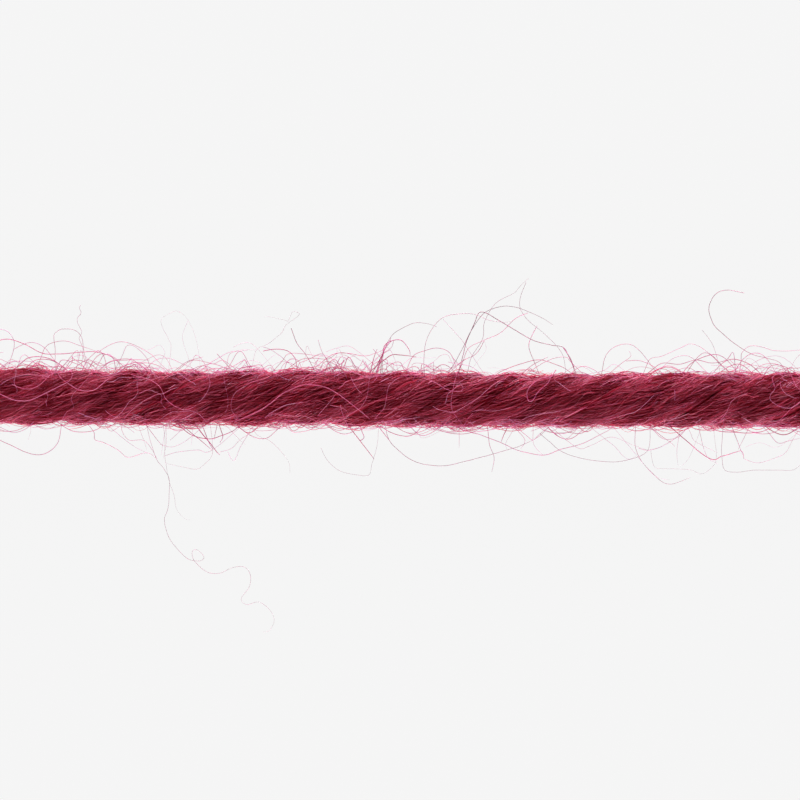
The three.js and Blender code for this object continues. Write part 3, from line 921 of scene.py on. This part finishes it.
# Shorter ones, above and below the strand in the picture.
HAIRS_ABOVE = [
    (1.0, (-10, 330), (0, 329), (8, 332), (14, 341), (13, 352), (10, 362)),
    (1.5, (-6, 342), (8, 339), (24, 344), (42, 353), (60, 354), (80, 352), (96, 352), (113, 358)),
    (1.0, (14, 349), (27, 343), (36, 343), (45, 348), (52, 357)),
    (1.6, (18, 366), (28, 358), (42, 357), (56, 362)),
    (1.5, (26, 368), (36, 360), (50, 360), (62, 366)),
    (1.0, (41, 358), (45, 348), (52, 343), (65, 341), (79, 345), (98, 352)),
    (1.0, (68, 360), (77, 350), (78, 358)),
    (1.0, (78, 362), (81, 350), (85, 362)),
    (1.0, (86, 360), (100, 366), (112, 361), (130, 359), (144, 368)),
    (1.0, (97, 353), (108, 346), (120, 342), (134, 345), (151, 354), (157, 360)),
    (1.3, (110, 362), (127, 360), (150, 360)),
    (0.5, (141, 349), (148, 350), (160, 345), (165, 353), (163, 358)),
    (1.0, (147, 368), (156, 360), (168, 358), (183, 364), (196, 370)),
    (1.0, (178, 368), (188, 361), (203, 357)),
    (0.4, (188, 320), (183, 333), (183, 341), (188, 357)),
    (1.0, (190, 361), (206, 362), (214, 364), (225, 361)),
    (1.0, (209, 364), (220, 357), (230, 352), (240, 351), (248, 350)),
    (1.0, (217, 354), (221, 358), (230, 368)),
    (0.7, (226, 368), (230, 354), (242, 350), (257, 350)),
    (1.0, (231, 363), (237, 353), (242, 352), (250, 365)),
    (0.5, (233, 347), (243, 343), (252, 344), (263, 355), (270, 364)),
    (1.5, (263, 351), (275, 349), (288, 351), (295, 358), (296, 363)),
    (0.8, (263, 347), (275, 352)),
    (0.5, (266, 362), (274, 355), (279, 356)),
    (1.0, (282, 361), (288, 354), (303, 354), (327, 357)),
    (1.0, (298, 361), (312, 358), (328, 359), (338, 353), (350, 354), (361, 361)),
    (0.8, (318, 340), (322, 352), (327, 359)),
    (0.6, (326, 352), (337, 348), (348, 346), (360, 353)),
    (1.3, (330, 356), (346, 353), (364, 356), (376, 353), (383, 350)),
    (1.4, (336, 366), (341, 357), (346, 359)),
    (1.4, (344, 366), (349, 357), (356, 368)),
    (1.6, (371, 370), (374, 357), (377, 349)),
    (1.0, (373, 349), (383, 360), (390, 366)),
    (1.5, (375, 368), (383, 354), (390, 350)),
    (1.5, (377, 370), (382, 355), (391, 338)),
    (1.5, (381, 370), (383, 352), (391, 340)),
    (1.8, (382, 357), (386, 344), (400, 340), (409, 349), (410, 355)),
    (1.0, (383, 350), (393, 340), (391, 348), (382, 354)),
    (1.8, (388, 357), (400, 355), (416, 357)),
    (1.2, (406, 372), (413, 356), (424, 351), (437, 348), (450, 353), (458, 372)),
    (0.6, (443, 319), (449, 326), (461, 339), (465, 345)),
    (1.0, (528, 313), (515, 319), (500, 333), (484, 340), (469, 348), (461, 366)),
    (0.4, (484, 340), (486, 350), (478, 361)),
    (1.0, (484, 341), (476, 354), (463, 361)),
    (1.0, (448, 362), (458, 364), (472, 367)),
    (1.0, (452, 357), (458, 364), (464, 372)),
    (1.0, (449, 370), (458, 364), (466, 358)),
    (1.5, (563, 347), (570, 358), (576, 374)),
    (1.2, (500, 372), (520, 364), (540, 360), (560, 366), (570, 372)),
    (1.2, (530, 367), (536, 363), (548, 357)),
    (1.0, (535, 368), (552, 359), (566, 357), (572, 363)),
    (1.0, (537, 326), (530, 340), (529, 348), (534, 361)),
    (1.0, (580, 367), (594, 370)),
    (0.9, (602, 371), (606, 355), (616, 346), (629, 344), (640, 351), (655, 370)),
    (1.0, (612, 371), (623, 362), (631, 356), (629, 351)),
    (1.0, (626, 361), (641, 361), (656, 368)),
    (0.8, (644, 372), (650, 359), (662, 356), (680, 348), (692, 344), (709, 353), (728, 371)),
    (1.2, (652, 370), (663, 363), (680, 364), (696, 360), (711, 363), (726, 360), (733, 352),
     (735, 366)),
    (1.0, (688, 371), (697, 358), (707, 353), (722, 366)),
    (1.0, (730, 360), (745, 372)),
    (1.0, (741, 362), (742, 353), (750, 346), (762, 347), (776, 351), (800, 350), (812, 348)),
    (1.0, (752, 372), (765, 364), (781, 366)),
]
HAIRS_BELOW = [
    (1.2, (-6, 436), (0, 440), (10, 445), (28, 453), (40, 455), (50, 451), (58, 442), (62, 424)),
    (0.4, (30, 427), (31, 430), (28, 440)),
    (1.0, (31, 423), (45, 429), (57, 425)),
    (1.2, (63, 426), (73, 431), (87, 432), (98, 429), (102, 424)),
    (1.0, (72, 423), (86, 425), (93, 423)),
    (1.0, (86, 422), (94, 432), (95, 440), (104, 443), (118, 450), (128, 457), (147, 453),
     (157, 459)),
    (0.8, (122, 424), (122, 431), (129, 440), (143, 440), (151, 448), (157, 459)),
    (0.7, (129, 443), (147, 453)),
    (0.6, (140, 430), (147, 450)),
    (1.0, (148, 428), (157, 440), (163, 446)),
    (0.6, (160, 444), (172, 447), (184, 442), (187, 440)),
    (0.6, (165, 432), (161, 455)),
    (0.7, (165, 456), (178, 452), (198, 450), (212, 450)),
    (0.5, (166, 430), (166, 445), (163, 460)),
    (0.6, (170, 440), (180, 431), (182, 428)),
    (1.6, (182, 428), (192, 435), (209, 439), (221, 436), (233, 431), (237, 428)),
    (0.5, (193, 430), (191, 445)),
    (1.4, (200, 440), (212, 450)),
    (1.3, (203, 428), (208, 440), (213, 450)),
    (2.0, (213, 447), (217, 452), (220, 455)),
    (1.0, (216, 430), (214, 440)),
    (0.7, (220, 452), (232, 448), (240, 440), (250, 433)),
    (1.6, (221, 430), (223, 437), (220, 443)),
    (0.6, (228, 452), (234, 461), (241, 446), (247, 436)),
    (0.6, (232, 432), (245, 445)),
    (1.2, (240, 428), (254, 437), (267, 438), (279, 428)),
    (1.2, (290, 430), (297, 432), (312, 429)),
    (1.2, (330, 428), (343, 434), (354, 431)),
    (1.5, (353, 432), (364, 446), (374, 459)),
    (1.4, (360, 441), (364, 438), (362, 432)),
    (1.4, (378, 426), (390, 441)),
    (1.5, (388, 431), (404, 436), (414, 434), (420, 428)),
    (0.4, (417, 433), (424, 438), (443, 429)),
    (0.7, (459, 430), (459, 448)),
    (1.2, (468, 431), (481, 435), (501, 443), (520, 451), (544, 455), (562, 449), (584, 443),
     (603, 433), (609, 430)),
    (1.0, (488, 432), (490, 446), (494, 458), (492, 472)),
    (1.5, (507, 428), (501, 442)),
    (0.6, (512, 432), (506, 443), (507, 449)),
    (1.0, (517, 430), (525, 440), (521, 449)),
    (1.0, (527, 436), (533, 440), (540, 434)),
    (0.7, (533, 430), (534, 445), (543, 455)),
    (1.2, (543, 430), (558, 433), (573, 431)),
    (0.8, (560, 437), (568, 438), (576, 430)),
    (0.6, (576, 447), (592, 445), (611, 437), (631, 444), (649, 451)),
    (0.6, (604, 438), (614, 446), (627, 459), (636, 456)),
    (1.0, (638, 448), (650, 450), (670, 442)),
    (0.6, (638, 457), (647, 468), (657, 477), (670, 480)),
    (0.8, (653, 430), (663, 439), (677, 438), (686, 430)),
    (1.0, (659, 434), (670, 442), (675, 447)),
    (0.6, (680, 432), (677, 450), (678, 464)),
    (0.6, (690, 432), (696, 442), (718, 453)),
    (0.4, (696, 441), (689, 458), (681, 466), (677, 464)),
    (0.7, (700, 432), (703, 446), (708, 458), (718, 464)),
    (1.6, (707, 457), (722, 456), (736, 452), (742, 451), (744, 459)),
    (1.6, (716, 430), (735, 432), (752, 433), (766, 430)),
    (1.0, (733, 430), (743, 455)),
    (0.6, (744, 459), (757, 463), (772, 459), (785, 453), (792, 441)),
    (0.4, (745, 447), (760, 443), (780, 446)),
    (0.7, (748, 430), (738, 450)),
    (1.0, (768, 432), (778, 443), (788, 441), (800, 438)),
    (1.8, (770, 430), (783, 435), (795, 430)),
]

# Loose hairs that curl over the face of the strand.
FACE_CURLS = [
    (0.6, (-4, 389), (3, 383), (8, 380), (15, 377), (24, 375), (34, 375), (44, 376), (52, 379)),
    (1.0, (8, 382), (18, 387), (28, 389), (36, 387), (42, 383), (47, 378), (53, 373), (61, 370)),
    (0.6, (15, 364), (16, 373), (14, 382), (17, 389), (16, 396)),
    (1.0, (-6, 391), (4, 396), (14, 400), (24, 401), (31, 400), (38, 397), (46, 393), (54, 389),
     (62, 385), (69, 381), (72, 376), (71, 370), (66, 364)),
    (0.5, (44, 390), (48, 396), (46, 402), (48, 410)),
    (1.0, (57, 364), (57, 371), (61, 378), (66, 382), (72, 386), (79, 390), (87, 391), (94, 390),
     (101, 385), (108, 379), (116, 375), (124, 373), (132, 374)),
    (0.6, (62, 423), (64, 416), (68, 411), (73, 409), (73, 404), (71, 399), (74, 393), (79, 388),
     (85, 381), (92, 374), (98, 369)),
    (0.6, (103, 408), (108, 413), (115, 417), (120, 414), (125, 408), (129, 402), (134, 398),
     (138, 392), (137, 384), (139, 376)),
    (0.7, (123, 421), (127, 415), (133, 409), (142, 402), (151, 397), (160, 394), (162, 397),
     (161, 402), (164, 407), (170, 411)),
    (1.0, (128, 374), (136, 376), (144, 378), (152, 381), (159, 386), (163, 393), (165, 398),
     (170, 403), (176, 407), (184, 410), (192, 408), (200, 403)),
    (0.6, (135, 397), (142, 392), (149, 390), (155, 392), (162, 394), (170, 390), (181, 386)),
    (0.6, (157, 422), (165, 416), (172, 412), (180, 412), (190, 411), (197, 413), (202, 417),
     (208, 424)),
    (0.7, (205, 366), (208, 375), (210, 384), (207, 392), (202, 399), (194, 405)),
    (0.5, (225, 366), (224, 378), (226, 389), (228, 400), (227, 409), (222, 418)),
    (0.6, (263, 380), (252, 382), (244, 387), (236, 392), (232, 399), (231, 407), (234, 414),
     (241, 420)),
    (1.3, (234, 422), (243, 418), (252, 414), (262, 409), (272, 402), (282, 394), (292, 389),
     (303, 385), (314, 385), (325, 387), (335, 392), (345, 399), (354, 406), (364, 414),
     (373, 422)),
    (0.6, (262, 422), (268, 415), (276, 410), (286, 405), (298, 403), (311, 401)),
    (0.8, (263, 419), (273, 414), (284, 415), (294, 416), (304, 416), (312, 419), (321, 423),
     (331, 422), (342, 418), (352, 413), (360, 408), (366, 399), (368, 390), (369, 381),
     (371, 373)),
    (0.6, (297, 390), (303, 381), (308, 375), (316, 372), (327, 371)),
    (0.6, (315, 419), (321, 412), (327, 405), (333, 398), (337, 391)),
    (1.0, (335, 391), (342, 386), (346, 382), (352, 380), (360, 379), (367, 377), (375, 371)),
    (0.5, (325, 404), (334, 406), (342, 408), (351, 413)),
    (0.7, (340, 399), (341, 408), (343, 415), (346, 422), (349, 428)),
    (0.5, (350, 374), (354, 384), (359, 391), (367, 398)),
    (0.8, (368, 384), (374, 381), (377, 376), (377, 368)),
    (0.7, (371, 423), (378, 415), (384, 408), (386, 400), (387, 393), (389, 386), (395, 380),
     (403, 375)),
    (0.6, (379, 420), (387, 415), (394, 410), (401, 403)),
    (0.9, (397, 376), (408, 375), (420, 376), (430, 380), (438, 384), (446, 389), (454, 391),
     (461, 391), (463, 388), (461, 385), (457, 386), (453, 390), (448, 394), (446, 401),
     (443, 409)),
    (0.8, (461, 364), (457, 374), (454, 384), (452, 394), (451, 404), (453, 412), (458, 419),
     (464, 426)),
    (0.6, (430, 404), (437, 409), (445, 411), (455, 412), (465, 407)),
    (0.8, (507, 381), (498, 382), (492, 386), (485, 392), (477, 399), (469, 404), (460, 409),
     (450, 413), (440, 409)),
    (0.5, (468, 413), (480, 410), (494, 411), (508, 408), (521, 404)),
    (0.5, (519, 422), (528, 417), (540, 414), (555, 412), (569, 408)),
    (1.3, (556, 370), (550, 378), (543, 378), (535, 382), (529, 388), (527, 395), (529, 401),
     (533, 400), (537, 393), (542, 388), (547, 384), (550, 379), (552, 372)),
    (0.6, (551, 378), (559, 383), (567, 389), (577, 395)),
    (0.6, (559, 421), (570, 415), (580, 410), (591, 405)),
    (0.6, (600, 421), (613, 418), (624, 415), (635, 412), (643, 406), (650, 399), (658, 391)),
    (0.6, (674, 387), (675, 396), (674, 407)),
    (0.7, (718, 423), (724, 416), (728, 409), (731, 402), (737, 397), (745, 394), (753, 390)),
    (0.7, (771, 373), (773, 382), (775, 389), (771, 394), (770, 399), (775, 404), (782, 407),
     (790, 408), (798, 404), (807, 397)),
    (0.6, (780, 378), (781, 387), (785, 393), (792, 397), (802, 400)),
    (1.2, (769, 430), (776, 424), (782, 418), (788, 412), (793, 407), (800, 402), (809, 395)),
    (1.0, (787, 368), (792, 377), (795, 384), (800, 390), (808, 396)),
]

HAIR_LOW = 0.12 * MM  # the least height of a stray hair over the floor
DROOP = 1.35  # how far out a stray hair droops, in radii of the strand
TIER = 0.42 * MM  # how much higher a hair of the next tier passes
TIER_STARTS, TIER_FULL = 1.62 * MM, 2.1 * MM  # where the tiers part, from the middle
EDGE_NEAR = 0.5 * MM  # an end this near the strand is a root
SUNK = 0.6  # how far out an end that goes into the strand stops, as a share
STEEPEST = 1.2  # how much a root leans along the strand, at most
RADIUS = 0.0138 * MM  # of a stray hair of thickness 1
CURL_RADIUS = 0.018 * MM  # of a curl of thickness 1


def drooping(along, away, tier):
    """Heights of a hair that droops from the strand to just over the floor."""
    height = middle(along)[1]
    droop = (height + REACH) * np.exp(-((away / (DROOP * REACH)) ** 3))
    risen = eased(np.clip((away - TIER_STARTS) / (TIER_FULL - TIER_STARTS), 0, 1))
    return HAIR_LOW + droop + tier * TIER * risen


def standing_off(along, away, slope):
    """Heights of a hair that stands off the strand's side and rises or falls."""
    straight_to, lowest = 0.8 * REACH, 0.05 * MM
    height = middle(along)[1]
    return np.maximum(height + slope * np.maximum(away - straight_to, 0), lowest)


def lying_on(along, away, clear):
    """Heights of a hair that lies over the strand's ridges."""
    highest = 1.04  # of the ridges, as a share of what they reach to on average
    reach = station("girth", along) * REACH * highest + clear
    return middle(along)[1] + np.sqrt(np.maximum(reach**2 - away**2, 0))


def root_of(places):
    """Where the hair that starts with these places comes out of the strand."""
    inside, least_rise = 0.7 * REACH, 0.1 * MM
    (x, y), (next_x, next_y) = places[:2]
    side = middle(x)[0]
    way = math.copysign(1, y - side)
    down = y - side - way * inside
    slope = (x - next_x) / max(abs(y - next_y), least_rise)
    return [x + abs(down) * min(max(slope, -STEEPEST), STEEPEST), y - down]


def led_in(x, y):
    """The places of a hair, with each end that is near the strand led on into it."""
    places = np.stack([x, y], 1)
    off = [abs(places[i][1] - middle(places[i][0])[0]) - REACH for i in (0, -1)]
    if off[0] < EDGE_NEAR or off[0] <= off[1]:
        places = np.concatenate([[root_of(places)], places])
    if off[1] < EDGE_NEAR or off[1] < off[0]:
        places = np.concatenate([places, [root_of(places[::-1])]])
    return places.T


def hairs_mesh(name, hairs, heights, radius, into_strand=True):
    """Hairs as a mesh of edges. Each comes as how thick it is against the others, what
    its rule for heights takes, and the places that it passes in the picture."""
    places, edges, radii = [], [], []
    for thickness, rule_value, chain in hairs:
        x, y = in_picture(*np.array(chain, float).T)
        if into_strand:
            x, y = led_in(x, y)
        side, height = middle(x)
        away = np.abs(y - side)
        z = heights(x, away, rule_value)
        for end in (0, -1):
            if not into_strand and away[end] < REACH:
                z[end] = height[end] + SUNK * math.sqrt(REACH**2 - away[end] ** 2)
        nearer = 1 + (MIDDLE_Z - z) / CAMERA_ABOVE
        first = len(places)
        places += np.stack([x * nearer, VIEW_Y + (y - VIEW_Y) * nearer, z], 1).tolist()
        edges += [(first + i, first + i + 1) for i in range(len(x) - 1)]
        radii += [thickness * radius] * len(x)
    mesh = bpy.data.meshes.new(name)
    mesh.from_pydata(places, edges, [])
    mesh.attributes.new("thickness", "FLOAT", "POINT").data.foreach_set("value", radii)
    return mesh


def drawn_piece(name, mesh, step, shiver, material):
    """Makes a piece of hairs from a mesh of edges, in steps, with a slight shiver."""
    sizes = {"Material": material, "Seed": 3, "Step": step, "Shiver": shiver}
    mesh = grown(name, DRAWN_OUT, sizes, mesh)
    mesh.attributes.remove(mesh.attributes["thickness"])
    return hairs_piece(name, [mesh])


def stray_hairs():
    """The long stray hairs, in place of their solids."""
    hairs = [(thickness, tier, chain) for tier, thickness, chain in STRAY_HAIRS.values()]
    mesh = hairs_mesh("long_hairs", hairs, drooping, RADIUS, into_strand=False)
    made = drawn_piece("long_hairs", mesh, 0.13 * MM, 0.05 * MM, stray)
    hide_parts(*(f"hair_{name}" for name in STRAY_HAIRS))


def side_hairs(name, rows, seed):
    """The shorter hairs of one side, each with a slope of its own."""
    falls, rises = -0.5, 0.9  # the slopes, at most
    chance = np.random.default_rng(seed)
    hairs = [(row[0], chance.uniform(falls, rises), row[1:]) for row in rows]
    mesh = hairs_mesh(name, hairs, standing_off, RADIUS)
    drawn_piece(name, mesh, 0.11 * MM, 0.04 * MM, loose)


def face_curls():
    """The curls over the face of the strand."""
    clear = 0.1 * MM  # how far over the ridges they lie
    hairs = [(row[0], clear, row[1:]) for row in FACE_CURLS]
    mesh = hairs_mesh("face_curls", hairs, lying_on, CURL_RADIUS, into_strand=False)
    drawn_piece("face_curls", mesh, 0.1 * MM, 0.0, curled)


stray_hairs()
side_hairs("hairs_above", HAIRS_ABOVE, 1)
side_hairs("hairs_below", HAIRS_BELOW, 2)
face_curls()

FLOOR_GLOW = 0.905  # the floor's own light, as on a light table
FLOOR_SHADE = 0.02  # how much of the light on it the floor gives back
ROOM_SEEN = 0.92  # how bright the room looks beyond the floor
UPPER_LIGHT, LOWER_LIGHT = 2.85, 2.4  # watts
LIGHT_AWAY, LIGHT_SIZE = 0.3, 0.3  # metres


def make_floor():
    """A pale floor with light of its own, as on a light table."""
    size = 4.0  # metres to each side
    mesh = bpy.data.meshes.new("floor")
    corners = [(-size, -size, 0), (size, -size, 0), (size, size, 0), (-size, size, 0)]
    mesh.from_pydata(corners, [], [(0, 1, 2, 3)])
    floor = bpy.data.objects.new("floor", mesh)
    scene.collection.objects.link(floor)
    material, tree = new_material("pale_floor")
    surface(tree, {
        "Base Color": (FLOOR_SHADE, FLOOR_SHADE, FLOOR_SHADE, 1.0),
        "Roughness": 0.9,
        "Specular IOR Level": 0.0,
        "Emission Color": (1.0, 1.0, 1.0, 1.0),
        "Emission Strength": FLOOR_GLOW,
    })
    mesh.materials.append(material)


def make_light(name, away, power):
    """A soft square light beside the strand, level with the floor, that faces it."""
    data = bpy.data.lights.new(name, "AREA")
    data.size, data.energy = LIGHT_SIZE, power
    light = bpy.data.objects.new(name, data)
    light.location = (0, MIDDLE_Y + away, 0)
    light.rotation_mode = "QUATERNION"
    light.rotation_quaternion = Vector((0, away, 0)).to_track_quat("Z", "Y")
    light.visible_camera = False
    scene.collection.objects.link(light)


def make_world():
    """The room, which is pale where the camera sees it and gives no light."""
    world = bpy.data.worlds.new("studio")
    scene.world = world
    world.use_nodes = True
    tree = Tree(world.node_tree)
    strength = tree.node("ShaderNodeLightPath", None, None, "Is Camera Ray") * ROOM_SEEN
    room = world.node_tree.nodes["Background"].inputs
    room["Color"].default_value = (1, 1, 1, 1)
    world.node_tree.links.new(strength.socket, room["Strength"])


make_floor()
make_light("upper_light", LIGHT_AWAY, UPPER_LIGHT)
make_light("lower_light", -LIGHT_AWAY, LOWER_LIGHT)
make_world()
scene.view_settings.view_transform = "Standard"

bpy.data.objects.remove(MIDDLE)

# The strand as a cord, by places along its middle.
path = np.linspace(-LENGTH / 2, LENGTH / 2, 45)
path = np.stack([path, *middle(path)], 1)
